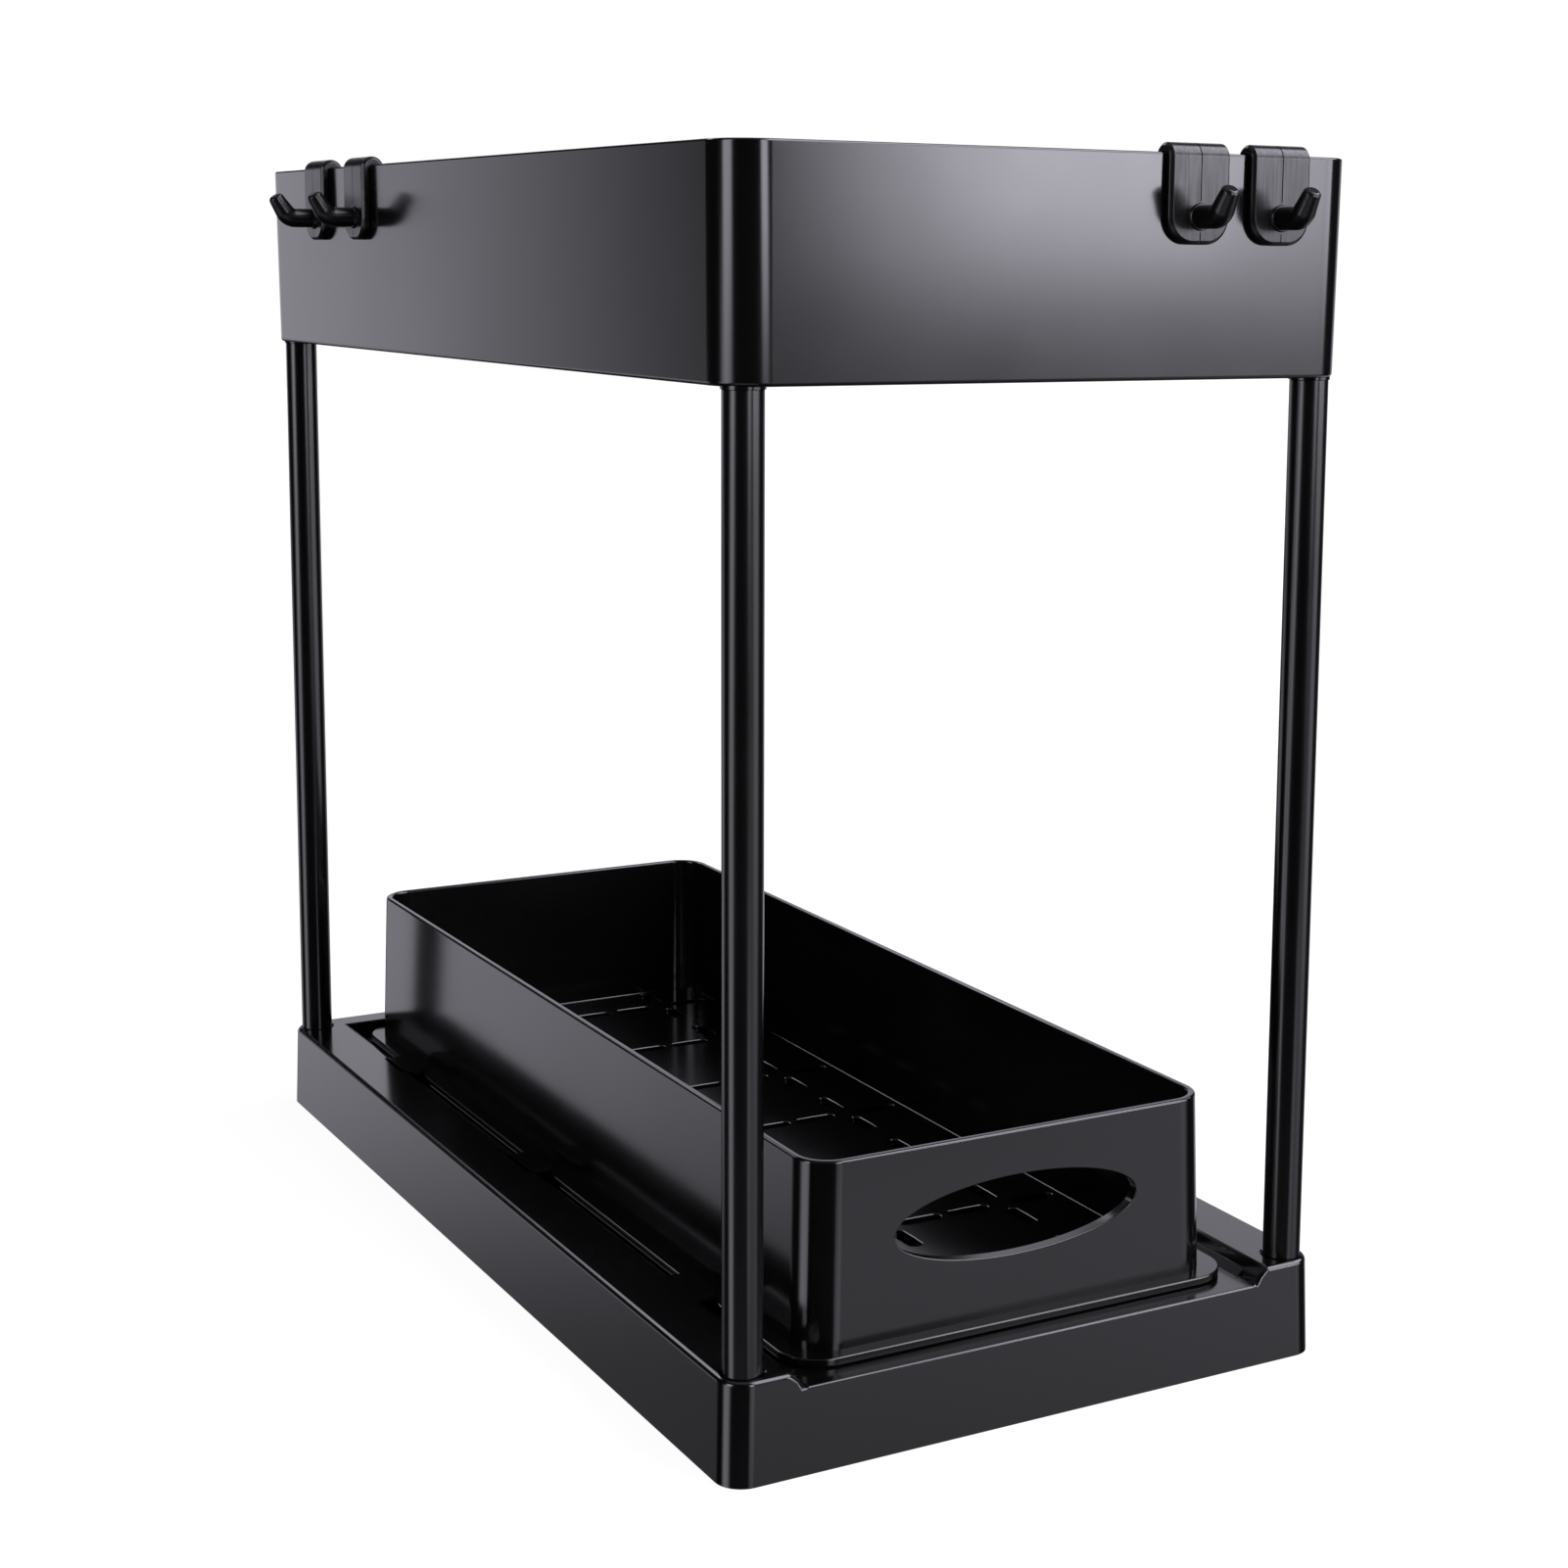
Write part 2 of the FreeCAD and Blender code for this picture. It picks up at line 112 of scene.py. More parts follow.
class OrganizerSizes(bpy.types.PropertyGroup):
    """Sizes of the shells that the frame's boxes don't give."""

    corner_steps: IntProperty(
        name="Corner steps", description="Facets round each upright corner", default=14, min=4)
    edge_steps: IntProperty(
        name="Edge steps", description="Facets across each small edge round", default=4, min=2)
    base_flare: length("Base flare", "How far the base's foot stands out past its deck", 0.9)
    base_corner: length("Base corner", "Round of the base's upright corners", 8.7)
    base_edge: length("Base edge", "Round along the base's outer top edge", 1.5)
    base_wall: length("Base wall", "Thickness of the base's skin", 2.5)
    deck_edge: length("Deck edge", "Round along the channel's upper edges", 0.8)
    channel_fillet: length("Channel fillet", "Round where the channel's flanks meet its floor", 0.6)
    channel_depth: length("Channel depth", "From the deck down to the channel's floor", 5.0)
    channel_half: length("Channel half width", "Half width of the channel's floor", 79.6)
    channel_flank: length("Channel flank", "How far each sloped flank leans outwards", 6.0)
    channel_back: length("Channel back", "Where the channel ends at the back", 194.5)
    mouth_length: length("Mouth length", "Length of the wider mouth at the front", 8.5)
    mouth_extra: length("Mouth extra", "How much wider the mouth's floor is on each side", 1.5)
    mouth_rise: length("Mouth rise", "How far up its flank the wider mouth is cut", 3.0)
    mouth_lean: length("Mouth lean", "How far the mouth's flank leans outwards over its rise", 1.8)
    tab_length: length("Tab length", "Length of each hold-down tab along its rail", 21.0)
    tab_pitch: length("Tab pitch", "Distance between hold-down tabs", 131.0)
    tab_inner: length("Tab inner edge", "Half distance between facing tabs", 77.2)
    tab_thickness: length("Tab thickness", "Thickness of each hold-down tab", 1.8)
    tab_corner: length("Tab corner", "Round of each tab's free corners", 2.5)
    tab_edge: length("Tab edge", "Round along each tab's top edges", 0.4)
    rib_thickness: length("Rib thickness", "Thickness of the ribs under the base", 1.6)
    rib_lift: length("Rib lift", "How far the ribs stay above the floor", 4.0)
    seat_radius: length("Pad seat radius", "Radius of the boss above each foot pad", 9.5)
    socket_wall: length("Socket wall", "Wall round each post socket", 2.3)
    post_fit: length("Post fit", "Gap between a post and its socket", 0.15)
    socket_flare: length("Socket flare", "Countersink round each post", 0.8)
    post_wall: length("Post wall", "Wall of the tubes", 1.3)
    post_ease: length("Post ease", "Round along the tubes' ends", 0.3)
    drawer_foot: length("Drawer flare", "How far the drawer's foot stands out past its rim", 1.5)
    drawer_corner: length("Drawer corner", "Round of the drawer's upright corners", 12.0)
    drawer_wall: length("Drawer wall", "Width of the drawer's rim", 2.5)
    drawer_taper: length("Drawer taper", "How far the drawer narrows inside towards its floor", 0.8)
    drawer_rim: length("Drawer rim half width", "Half width of the drawer over its rim", 71.8)
    drawer_rim_end: length("Drawer rim half length", "Half length of the drawer over its rim", 191.0)
    rim_edge: length("Rim edge", "Round along the rims", 0.8)
    floor_fillet: length("Floor fillet", "Round inside, where walls meet floors", 0.35)
    flange_thickness: length("Flange thickness", "Thickness of the drawer's flange and floor", 2.5)
    flange_corner: length("Flange corner", "Round of the flange's corners", 14.0)
    flange_edge: length("Flange edge", "Round along the flange's edges", 0.5)
    handle_width: length("Finger hole width", "Width of the oval hole", 87.0)
    handle_height: length("Finger hole height", "Height of the oval hole", 24.8)
    handle_drop: length("Finger hole drop", "From the drawer's rim down to the hole's middle", 26.5)
    handle_edge: length("Finger hole edge", "Round along the hole's edges", 0.3)
    tray_height: length("Tray height", "Height of the upper tray without its spigots", 66.0)
    tray_taper: length("Tray taper", "How far the tray narrows towards its foot", 0.7)
    tray_corner: length("Tray corner", "Round of the tray's upright corners", 13.5)
    tray_wall: length("Tray wall", "Thickness of the tray's walls and floor", 2.5)
    tray_foot: length("Tray foot edge", "Round along the tray's lower edge", 1.2)
    seat_margin: length("Seat margin", "How far the ring above each post stands out past it", 0.4)
    spigot_wall: length("Spigot wall", "Wall of the spigots that go into the posts", 1.6)
    slot_width: length("Slot width", "Width of the drain slots", 5.0)
    slot_flare: length("Slot flare", "Round along the edge of each drain slot", 0.55)
    slot_side: length("Slot side margin", "From the outermost slot to the side wall", 3.3)
    slot_end: length("Slot end margin", "From the outermost slot to the end wall", 1.5)
    hook_width: length("Hook width", "Width of a hook's strap", 21.5)
    hook_depth: length("Hook depth", "From a hook's face back to its inner leg's far side", 8.47)
    hook_strap: length("Hook strap", "Thickness of a hook's strap", 2.6)
    hook_corner: length("Hook corner", "Round of the plate's lower corners", 8.0)
    hook_toe: length("Hook toe", "Round of the inner leg's corners", 3.0)
    hook_chamfer: length("Hook chamfer", "Chamfer along the strap's outer edges", 1.0)
    hook_arris: length("Hook arris", "Round along the chamfers", 0.22)
    hook_leg: length("Hook leg", "From a hook's top down to the end of its inner leg", 16.0)
    seam_width: length("Hook seam", "Width of the parting groove down a hook's face", 0.35)
    seam_depth: length("Hook seam depth", "Depth of the parting groove", 0.35)
    ring_radius: length("Ring radius", "Radius of the ring round a peg's root", 4.35)
    ring_height: length("Ring height", "How far the ring stands out from the plate", 0.8)
    ring_draft: length("Ring draft", "How much smaller the ring's radius is at its face", 0.48)
    peg_height: length("Peg height", "From the plate's foot up to its peg", 8.0)
    peg_radius: length("Peg radius", "Radius of a peg where it leaves the plate", 3.45)
    peg_run: length("Peg run", "Straight stretch of a peg before its bend", 7.0)
    peg_bend: length("Peg bend", "Radius of a peg's bend", 4.5)
    peg_rise: length("Peg rise", "Straight stretch of a peg after its bend", 7.2)
    peg_tip: length("Peg tip radius", "Radius of a peg at its tip", 2.6)
    tip_chamfer: length("Tip chamfer", "Chamfer round a peg's tip", 0.8)
    peg_turn: FloatProperty(
        name="Peg turn", description="How far a peg bends upwards", default=math.radians(57), unit="ROTATION")
    pad_ease: length("Pad ease", "Round along the pads' soles", 0.4)
    pad_groove: length("Pad groove", "Depth of the ring groove in the pads' soles", 0.5)


class OrganizerFinish(bpy.types.PropertyGroup):
    """Colours of the finishes and the studio."""

    body: colour("Body", "Black moulded shells", "#040404")
    post: colour("Posts", "Black tubes", "#040404")
    hook: colour("Hooks", "Black hooks", "#040404")
    pad: colour("Pads", "Black rubber pads", "#171717")
    floor: colour("Floor", "Pale matt floor", "#f2f2f2")
    lamp: colour("Lamps", "Faintly cool studio lamps", "#f4f2ff")


def sizes():
    """The scene's sizes."""
    return bpy.context.scene.organizer_sizes


def finish():
    """The scene's colours."""
    return bpy.context.scene.organizer_finish


def node_box(node):
    """Lower corner, upper corner and middle of a node's box."""
    low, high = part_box(node)
    return low, high, (low + high) / 2


# Modelling steps

def placed(name):
    """Name the new primitive and move its place into its mesh."""
    piece = bpy.context.object
    piece.name = name
    piece.data.name = name
    bpy.ops.object.transform_apply(location=True, rotation=True, scale=True)
    return piece


def add_block(name, low, high):
    """Box between two corners."""
    bpy.ops.object.select_all(action="DESELECT")
    low, high = Vector(low), Vector(high)
    bpy.ops.mesh.primitive_cube_add(size=1, location=(low + high) / 2, scale=high - low)
    return placed(name)


def add_rod(name, radius, foot, top, sides):
    """Cylinder between two points of its axis."""
    bpy.ops.object.select_all(action="DESELECT")
    foot, top = Vector(foot), Vector(top)
    turn = (top - foot).to_track_quat("Z", "Y").to_euler()
    bpy.ops.mesh.primitive_cylinder_add(
        vertices=sides, radius=radius, depth=(top - foot).length, location=(foot + top) / 2, rotation=turn)
    return placed(name)


def only(piece):
    """Select one piece and make it active."""
    bpy.ops.object.select_all(action="DESELECT")
    piece.select_set(True)
    bpy.context.view_layer.objects.active = piece


@contextmanager
def picked(piece, kind, test):
    """Edit mode with only the vertices, edges or faces that pass a test selected."""
    only(piece)
    bpy.ops.object.mode_set(mode="EDIT")
    bpy.ops.mesh.select_mode(type=kind)
    bpy.ops.mesh.select_all(action="DESELECT")
    shape = bmesh.from_edit_mesh(piece.data)
    shape.normal_update()
    for part in {"VERT": shape.verts, "EDGE": shape.edges, "FACE": shape.faces}[kind]:
        if test(part):
            part.select_set(True)
    shape.select_flush_mode()
    bmesh.update_edit_mesh(piece.data)
    yield
    bpy.ops.object.mode_set(mode="OBJECT")


def everything(part):
    """Test that every part passes."""
    return True


def near(first, second):
    """Whether two lengths agree to a hair."""
    return abs(first - second) < HAIR


def at_height(z):
    """Test for what lies level at one height."""
    def test(part):
        return all(near(vertex.co.z, z) for vertex in getattr(part, "verts", [part]))
    return test


def corner_at_height(z):
    """Test for the sharp edges that lie level at one height."""
    level = at_height(z)
    return lambda edge: level(edge) and edge.calc_face_angle(0) > SHARP


def upright(edge):
    """Test for edges that run up and down."""
    return abs(edge.verts[0].co.z - edge.verts[1].co.z) > UPRIGHT * edge.calc_length()


def arris(edge):
    """Test for the edges along a chamfer."""
    return SHARP < edge.calc_face_angle(0) < SQUARE


def round_edges(piece, test, radius, steps):
    """Round off the edges that pass a test."""
    with picked(piece, "EDGE", test):
        bpy.ops.mesh.bevel(offset=radius, offset_type="OFFSET", segments=steps, affect="EDGES")


def resize_level(piece, z, ratio_x, ratio_y):
    """Scale what lies at one height about the Z axis."""
    with picked(piece, "VERT", at_height(z)):
        bpy.ops.transform.resize(value=(ratio_x, ratio_y, 1), center_override=(0, 0, z))


def apply_modifier(piece, kind, **settings):
    """Add a modifier, set it and apply it."""
    only(piece)
    modifier = piece.modifiers.new(kind, kind)
    for field, value in settings.items():
        setattr(modifier, field, value)
    bpy.ops.object.modifier_apply(modifier=modifier.name)


def combine(piece, tool, operation):
    """Cut a tool piece from a piece, or weld it on, and clear the tool away."""
    apply_modifier(piece, "BOOLEAN", object=tool, operation=operation, solver="EXACT")
    bpy.data.objects.remove(tool, do_unlink=True)


def complete(piece, body, node, material):
    """Close seams, shade, finish and hand a piece over to the frame."""
    with picked(piece, "VERT", everything):
        bpy.ops.mesh.remove_doubles(threshold=WELD)
        bpy.ops.mesh.delete_loose()
    only(piece)
    bpy.ops.object.shade_smooth_by_angle(angle=SHARP)
    apply_modifier(piece, "WEIGHTED_NORMAL", mode="FACE_AREA", keep_sharp=True)
    piece.data.materials.clear()
    piece.data.materials.append(material)
    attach(piece, body)
    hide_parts(node)


def flared_cutter(name, half_x, half_y, low, mouth, flare, sides, steps):
    """Cutter for a round or round-ended hole at the origin, its mouth chamfered or, in more steps, round."""
    cutter = add_rod(name, half_y, (0, 0, low), (0, 0, mouth - flare), sides)
    for side in (-1, 1):
        with picked(cutter, "VERT", lambda vertex: vertex.co.x * side > HAIR):
            bpy.ops.transform.translate(value=(side * (half_x - half_y), 0, 0))
    with picked(cutter, "FACE", at_height(mouth - flare)):
        for step in range(steps):
            turns = [place * math.pi / (2 * steps) for place in (step, step + 1)]
            past, grown = (flare * (1 - math.cos(turn)) for turn in turns)
            rise = flare * (math.sin(turns[1]) - math.sin(turns[0]))
            bpy.ops.mesh.extrude_region_move(TRANSFORM_OT_translate={"value": (0, 0, rise)})
            ratio = ((half_x + grown) / (half_x + past), (half_y + grown) / (half_y + past), 1)
            bpy.ops.transform.resize(value=ratio, center_override=(0, 0, mouth))
        bpy.ops.mesh.extrude_region_move(TRANSFORM_OT_translate={"value": (0, 0, PAST)})
    return cutter


def moved_copy(piece, place, name, turn=0):
    """Copy of a piece with its own mesh, at another place and turned about Z."""
    only(piece)
    bpy.ops.object.duplicate()
    copy = bpy.context.object
    copy.location = place
    copy.rotation_euler.z = turn
    return placed(name)


def drain_slots(floor_half, floor_z, bottom_z, crosses):
    """Cutter for a grid of crosses, each of four round-ended slots."""
    kit = sizes()
    columns, rows = crosses
    tip = SLOT_REACH + SLOT_LENGTH / 2
    pitch_x = (floor_half[0] - kit.slot_side) / ((columns - 1) / 2 + tip)
    reach = SLOT_REACH * pitch_x
    last_x = pitch_x * (columns - 1) / 2
    last_y = floor_half[1] - kit.slot_end - tip * pitch_x
    pitch_y = 2 * last_y / (rows - 1)
    cutter = flared_cutter(
        "slot_cutter", SLOT_LENGTH * pitch_x / 2, kit.slot_width / 2, bottom_z - PAST, floor_z,
        kit.slot_flare, SIDES["slot"], STEPS["slot"])
    with picked(cutter, "VERT", everything):
        bpy.ops.transform.translate(value=(reach, 0, 0))
        bpy.ops.mesh.duplicate()
        bpy.ops.transform.translate(value=(-2 * reach, 0, 0))
        bpy.ops.mesh.select_all(action="SELECT")
        bpy.ops.mesh.duplicate()
        bpy.ops.transform.rotate(value=math.pi / 2, orient_axis="Z", center_override=(0, 0, 0))
        bpy.ops.mesh.select_all(action="SELECT")
        bpy.ops.transform.translate(value=(-last_x, -last_y, 0))
    for count, offset in ((columns, (pitch_x, 0, 0)), (rows, (0, pitch_y, 0))):
        apply_modifier(
            cutter, "ARRAY", count=count, use_relative_offset=False, use_constant_offset=True,
            constant_offset_displace=offset)
    return cutter


def open_box(name, foot_half, rim_half, foot_z, rim_z, corner, wall, floor_half, floor_z):
    """Open shell with upright round corners, walls that taper, and a flat floor."""
    kit = sizes()
    shell = add_block(name, (-rim_half[0], -rim_half[1], foot_z), (rim_half[0], rim_half[1], rim_z))
    resize_level(shell, foot_z, foot_half[0] / rim_half[0], foot_half[1] / rim_half[1])
    round_edges(shell, upright, corner, kit.corner_steps)
    with picked(shell, "FACE", at_height(rim_z)):
        bpy.ops.mesh.inset(thickness=wall, use_even_offset=True)
        bpy.ops.mesh.extrude_region_move(TRANSFORM_OT_translate={"value": (0, 0, floor_z - rim_z)})
        ratio = (floor_half[0] / (rim_half[0] - wall), floor_half[1] / (rim_half[1] - wall), 1)
        bpy.ops.transform.resize(value=ratio, center_override=(0, 0, floor_z))
    round_edges(shell, corner_at_height(rim_z), kit.rim_edge, kit.edge_steps)
    return shell


# Finishes

# Part of a noise pattern's range that is put to use
NOISE_LOW, NOISE_HIGH = 0.3, 0.7
# Refractive index of the plastics and the rubber, and how much lighter the dye's pale clouds are
PLASTIC_IOR = 1.5
PALE_CLOUD = 1.35
# Layers of finer noise in the clouds and in the skin, and how strongly the skin's height shows
CLOUD_DETAIL = 3.0
SKIN_DETAIL = 2.0
SKIN_STRENGTH = 0.5


def add_node(tree, kind, fields, sockets):
    """Add a node, set its fields, and set its sockets or link them to earlier outputs."""
    node = tree.nodes.new(kind)
    for field, value in fields.items():
        setattr(node, field, value)
    for socket, value in sockets.items():
        if isinstance(value, bpy.types.NodeSocket):
            tree.links.new(value, node.inputs[socket])
        else:
            node.inputs[socket].default_value = value
    return node


def new_material(name):
    """Empty node material with its output."""
    material = bpy.data.materials.new(name)
    material.use_nodes = True
    material.node_tree.nodes.clear()
    output = add_node(material.node_tree, "ShaderNodeOutputMaterial", {}, {})
    return material, material.node_tree, output


def spread(tree, pattern, span):
    """Noise pattern spread over a span of values."""
    return add_node(
        tree, "ShaderNodeMapRange", {},
        {"Value": pattern, "From Min": NOISE_LOW, "From Max": NOISE_HIGH,
         "To Min": span[0], "To Max": span[1]}).outputs["Result"]


def black_plastic(name, shade, gloss, sheen, cloud, grain, grain_height, stretch):
    """Dyed-through black plastic: near-black body colour, clear highlights, clouded gloss and a fine skin.

    gloss is the roughness from and to; sheen is how much the grain's lows and highs reflect; cloud and grain
    are pattern sizes in millimetres; stretch draws the grain out along Z, as on drawn tubes and tooled faces.
    """
    material, tree, output = new_material(name)
    place = add_node(tree, "ShaderNodeTexCoord", {}, {}).outputs["Object"]
    clouds = add_node(
        tree, "ShaderNodeTexNoise", {}, {"Vector": place, "Scale": 1 / (cloud * MM), "Detail": CLOUD_DETAIL})
    pale = [PALE_CLOUD * share for share in shade]
    tint = add_node(
        tree, "ShaderNodeMix", {"data_type": "RGBA"},
        {"Factor": clouds.outputs["Fac"], "A": [*shade, 1], "B": [*pale, 1]})
    drawn = add_node(
        tree, "ShaderNodeMapping", {}, {"Vector": place, "Scale": (1, 1, 1 / stretch)})
    skin = add_node(
        tree, "ShaderNodeTexNoise", {},
        {"Vector": drawn.outputs["Vector"], "Scale": 1 / (grain * MM), "Detail": SKIN_DETAIL})
    bump = add_node(
        tree, "ShaderNodeBump", {},
        {"Height": skin.outputs["Fac"], "Strength": SKIN_STRENGTH, "Distance": grain_height * MM})
    shader = add_node(
        tree, "ShaderNodeBsdfPrincipled", {},
        {"Base Color": tint.outputs["Result"], "Roughness": spread(tree, clouds.outputs["Fac"], gloss),
         "IOR": PLASTIC_IOR, "Specular IOR Level": spread(tree, skin.outputs["Fac"], sheen),
         "Normal": bump.outputs["Normal"]})
    tree.links.new(shader.outputs["BSDF"], output.inputs["Surface"])
    return material


def body_plastic():
    """Moulded polypropylene: satin, with soft broad reflections that fade across the flat walls."""
    return black_plastic(
        "Moulded polypropylene, black satin", finish().body, gloss=(0.13, 0.165), sheen=(0.5, 0.5), cloud=60,
        grain=0.9, grain_height=0.004, stretch=1)


def post_plastic():
    """Extruded polypropylene: a little duller, with reflections drawn out along the tube."""
    return black_plastic(
        "Extruded polypropylene tube, black satin", finish().post, gloss=(0.17, 0.21), sheen=(0.5, 0.5),
        cloud=40, grain=0.8, grain_height=0.004, stretch=12)


def hook_plastic():
    """Moulded ABS: semi-gloss faces with fine upright streaks from the tool."""
    return black_plastic(
        "Moulded ABS, black semi-gloss", finish().hook, gloss=(0.26, 0.32), sheen=(0.29, 0.46), cloud=20,
        grain=0.5, grain_height=0.006, stretch=30)


def pad_rubber():
    """Moulded rubber: matt and faintly grainy, with no clear reflection."""
    return black_plastic(
        "Moulded rubber, black matt", finish().pad, gloss=(0.6, 0.7), sheen=(0.5, 0.5), cloud=10,
        grain=0.5, grain_height=0.02, stretch=1)


# Pieces

class ORGANIZER_OT_base(bpy.types.Operator):
    """Model the base: channel, hold-down tabs, post sockets and ribbed underside"""

    bl_idname = "organizer.base"
    bl_label = "Base"

    def execute(self, context):
        kit = sizes()
        low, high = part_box("base")
        deck = high.z
        channel = deck - kit.channel_depth
        half = Vector((high.x - kit.base_flare, high.y - kit.base_flare))
        base = add_block("base_shell", (-half.x, -half.y, low.z), (half.x, half.y, deck))
        resize_level(base, low.z, high.x / half.x, high.y / half.y)
        round_edges(base, upright, kit.base_corner, kit.corner_steps)
        rise = 2 * PAST
        lean = kit.channel_flank * (1 + rise / kit.channel_depth)
        combine(base, self.channel_cutter(
            half, kit.channel_half, channel, deck + rise, lean, kit.channel_back), "DIFFERENCE")
        combine(base, self.channel_cutter(
            half, kit.channel_half + kit.mouth_extra, channel, channel + kit.mouth_rise, kit.mouth_lean,
            kit.mouth_length - half.y), "DIFFERENCE")
        brink = kit.channel_half + kit.channel_flank

        def channel_edge(edge):
            ends = [vertex.co for vertex in edge.verts]
            along = all(near(abs(end.x), brink) for end in ends)
            back = all(near(end.y, kit.channel_back) for end in ends)
            return all(near(end.z, deck) for end in ends) and (along or back)

        def channel_foot(edge):
            ends = [vertex.co for vertex in edge.verts]
            along = all(near(abs(end.x), kit.channel_half) for end in ends)
            return all(near(end.z, channel) for end in ends) and along and edge.calc_face_angle(0) > SHARP

        round_edges(base, channel_edge, kit.deck_edge, kit.edge_steps + 2)
        round_edges(base, channel_foot, kit.channel_fillet, kit.edge_steps)

        def outline_edge(edge):
            if edge.calc_face_angle(0) < BENT:
                return False
            sides = [face for face in edge.link_faces if abs(face.normal.z) < STEEP]
            if len(sides) != 1 or max(vertex.co.z for vertex in edge.verts) < channel - PAST:
                return False
            middle = sides[0].calc_center_median()
            beside = abs(middle.x) > half.x - 2 * kit.base_corner
            front = middle.y < -half.y + kit.base_edge
            back = middle.y > half.y - kit.base_corner and sides[0].normal.y > 0
            return beside or front or back

        round_edges(base, outline_edge, kit.base_edge, kit.edge_steps)
        for side in (-1, 1):
            for place in (-1, 0, 1):
                combine(base, self.tab(side, place * kit.tab_pitch, deck), "UNION")
        posts = [self.post_axis(corner) for corner in CORNERS]
        _, post_radius, post_foot = posts[0]
        combine(base, self.hollow(half, low.z, channel, deck, posts), "DIFFERENCE")
        hole_radius = post_radius + kit.post_fit
        hole = flared_cutter(
            "socket", hole_radius, hole_radius, post_foot, deck, kit.socket_flare,
            SIDES["socket"], STEPS["chamfer"])
        for axis, *_ in (*posts[1:], posts[0]):
            combine(base, moved_copy(hole, axis, "socket_copy"), "DIFFERENCE")
        bpy.data.objects.remove(hole, do_unlink=True)
        complete(base, "frame", "base", body_plastic())
        return {"FINISHED"}

    def channel_cutter(self, half, floor_half, floor, top, lean, back):
        """Cutter for a stretch of the drawer channel that is open at the front and leans outwards."""
        cutter = add_block(
            "channel_cutter", (-floor_half, -half.y - 4 * PAST, floor), (floor_half, back, top))
        resize_level(cutter, top, (floor_half + lean) / floor_half, 1)
        return cutter

    def tab(self, side, y, deck):
        """Hold-down tab that reaches in over the drawer's flange."""
        kit = sizes()
        outer = kit.channel_half + kit.channel_flank + kit.base_wall
        inner, outer = sorted((side * kit.tab_inner, side * outer))
        tab = add_block(
            "tab", (inner, y - kit.tab_length / 2, deck - kit.tab_thickness),
            (outer, y + kit.tab_length / 2, deck))
        free = side * kit.tab_inner

        def free_corner(edge):
            return upright(edge) and near(edge.verts[0].co.x, free)

        round_edges(tab, free_corner, kit.tab_corner, STEPS["tab"])
        round_edges(tab, corner_at_height(deck), kit.tab_edge, kit.edge_steps)
        return tab

    def post_axis(self, corner):
        """Axis, radius and foot of a post."""
        low, high, middle = node_box("post_" + corner)
        return Vector((middle.x, middle.y, 0)), (high.x - low.x) / 2, low.z

    def hollow(self, half, foot, channel, deck, posts):
        """Cutter for the underside: what is left between the ribs, the sockets and the pad seats."""
        kit = sizes()
        ceiling = channel - kit.base_wall
        inner = half - Vector((kit.base_wall, kit.base_wall))
        hollow = add_block("hollow", (-inner.x, -inner.y, foot - 2 * PAST), (inner.x, inner.y, ceiling))
        round_edges(hollow, upright, kit.base_corner - kit.base_wall, STEPS["hollow"])
        rail = kit.channel_half + kit.channel_flank + kit.mouth_extra + kit.base_wall
        end = half.y - kit.base_wall - kit.base_corner
        for side in (-1, 1):
            low_x, high_x = sorted((side * rail, side * inner.x))
            pocket = add_block(
                "pocket", (low_x, -end, ceiling - PAST), (high_x, end, deck - kit.base_wall))
            combine(hollow, pocket, "UNION")
        bars = []
        reach = half * RIB_RUN
        thin = kit.rib_thickness / 2
        for column in range(1, RIB_COLUMNS + 1):
            x = inner.x * (2 * column / (RIB_COLUMNS + 1) - 1)
            bars.append(add_block("rib", (x - thin, -reach.y, kit.rib_lift), (x + thin, reach.y, deck)))
        for row in range(1, RIB_ROWS + 1):
            y = inner.y * (2 * row / (RIB_ROWS + 1) - 1)
            bars.append(add_block("rib", (-reach.x, y - thin, kit.rib_lift), (reach.x, y + thin, deck)))
        for bar in bars:
            combine(hollow, bar, "DIFFERENCE")
        places = [node_box("foot_pad_" + corner) for corner in CORNERS]
        pad_top = places[0][1].z
        bosses = [(axis, radius + kit.post_fit + kit.socket_wall) for axis, radius, _ in posts]
        for middle, radius in bosses + [(middle, kit.seat_radius) for _, _, middle in places]:
            boss = add_rod(
                "boss", radius, (middle.x, middle.y, pad_top), (middle.x, middle.y, deck), SIDES["boss"])
            combine(hollow, boss, "DIFFERENCE")
        return hollow


